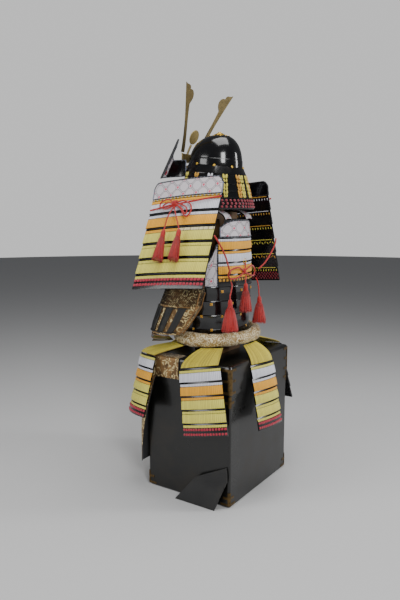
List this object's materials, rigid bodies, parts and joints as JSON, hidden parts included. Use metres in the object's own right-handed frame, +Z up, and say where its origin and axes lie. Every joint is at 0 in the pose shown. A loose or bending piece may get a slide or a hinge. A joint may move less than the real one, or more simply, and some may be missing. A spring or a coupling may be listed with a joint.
{
  "type": "samurai armour on an armour chest",
  "caption": "Laced samurai armour with horned helmet, shoulder guards, skirt panels and sleeves, set out on its black lacquered chest.",
  "frame": {"origin": "middle of the chest's underside, on the surface it stands on", "axes": "+Z up, -Y the way the armour faces, +X the armour's left arm"},
  "size_m": [0.6857, 0.5836, 1.6188],
  "materials": {
    "chest_lacquer": "black-brown lacquer over wood, semi-gloss, worn at the edges",
    "black_lacquer": "deep black lacquer over iron, polished",
    "stand_wood": "planed, oiled timber",
    "laced_silk": "close silk lacing in yellow, orange, white and crimson over black lacquered lames",
    "yellow_cord": "flat plaited silk cords",
    "red_cord": "round plaited silk cord and fringe",
    "gold_brocade": "padded brocade, gold scrolls on tan",
    "brown_brocade": "brocade in brown and gold over a hemp lining",
    "printed_leather": "printed deerskin with a stitched edge",
    "old_bronze": "aged gilt bronze, satin"
  },
  "bodies": {
    "root": {"chest_body": "chest_lacquer", "chest_lid": "chest_lacquer", "chest_foot_board": "black_lacquer", "stand_frame": "stand_wood", "waist_shell": "black_lacquer", "back_lames": "laced_silk", "front_lames": "laced_silk", "back_board": "printed_leather", "front_board": "printed_leather", "side_plate_left": "printed_leather", "side_plate_right": "printed_leather", "shoulder_strap_left": "printed_leather", "shoulder_strap_right": "printed_leather", "waist_sash": "gold_brocade", "skirt_cords_left": "yellow_cord", "skirt_panel_left": "laced_silk", "skirt_cords_back": "yellow_cord", "skirt_panel_back": "laced_silk", "skirt_cords_right": "yellow_cord", "skirt_panel_right": "laced_silk", "skirt_cords_front_right": "yellow_cord", "skirt_panel_front_right": "laced_silk", "skirt_cords_front": "yellow_cord", "skirt_panel_front": "laced_silk", "skirt_cords_front_left": "yellow_cord", "skirt_panel_front_left": "laced_silk", "sode_panel_left": "laced_silk", "sode_crown_left": "printed_leather", "sode_bow_left": "red_cord", "sode_tassels_left": "red_cord", "sode_panel_right": "laced_silk", "sode_crown_right": "printed_leather", "sode_bow_right": "red_cord", "sode_tassels_right": "red_cord", "helmet_bowl": "black_lacquer", "helmet_peak": "black_lacquer", "neck_guard": "laced_silk", "neck_wing_left": "printed_leather", "neck_wing_right": "printed_leather", "crest_stand": "old_bronze", "crest_disc": "old_bronze", "horn_left": "old_bronze", "horn_right": "old_bronze", "sleeve_left": "brown_brocade", "forearm_guard_left": "black_lacquer", "hand_guard_left": "black_lacquer", "sleeve_right": "brown_brocade", "forearm_guard_right": "black_lacquer", "hand_guard_right": "black_lacquer", "thigh_apron_left": "brown_brocade", "thigh_apron_right": "brown_brocade", "agemaki_knot": "red_cord", "agemaki_loop_left": "red_cord", "agemaki_loop_right": "red_cord", "agemaki_tassel_left": "red_cord", "agemaki_tassel_middle": "red_cord", "agemaki_tassel_right": "red_cord", "agemaki_cord_left": "red_cord", "agemaki_cord_right": "red_cord"}
  },
  "joints": []
}
